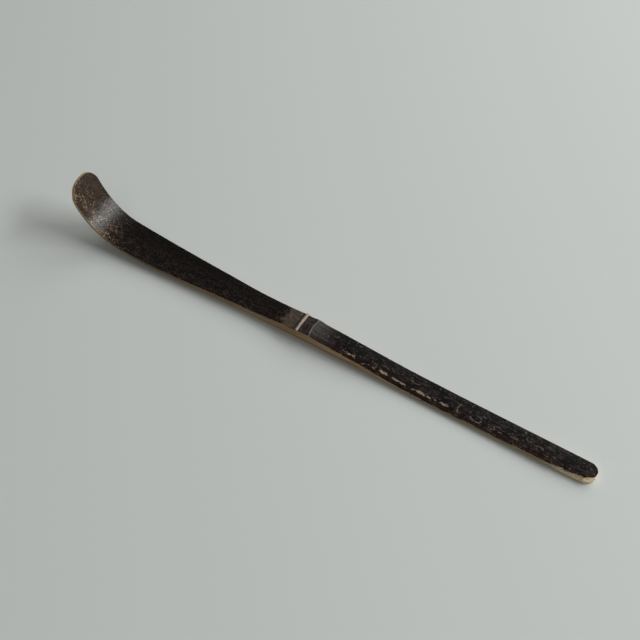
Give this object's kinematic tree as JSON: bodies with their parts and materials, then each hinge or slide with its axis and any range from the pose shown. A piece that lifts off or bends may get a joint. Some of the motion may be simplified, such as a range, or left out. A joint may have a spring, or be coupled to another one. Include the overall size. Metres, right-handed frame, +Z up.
{
  "type": "bamboo tea scoop",
  "caption": "Slim carved bamboo strip with a rounded tail, a culm node near its middle and a broad, slightly askew end bent upwards to lift powdered tea.",
  "frame": {"origin": "centre of the bounding box on the plane the scoop rests on", "axes": "+X along the handle towards the tail, with the bent tip at -X; +Z up, away from the resting plane; +Y across the strip"},
  "size_m": [0.17, 0.0116, 0.02],
  "materials": {
    "flesh": "pale carved bamboo flesh with straight fibres, matt",
    "handle_rind": "charcoal black smoked bamboo skin, semi-gloss, with small pale worn spots",
    "scar": "pale pinkish beige sheath scar, matt",
    "blade_rind": "dark brown mottled bamboo skin, semi-gloss"
  },
  "bodies": {
    "root": {"handle_flesh": "flesh", "blade_flesh": "flesh", "handle_skin": "handle_rind", "sheath_scar": "scar", "blade_skin": "blade_rind"}
  },
  "joints": []
}
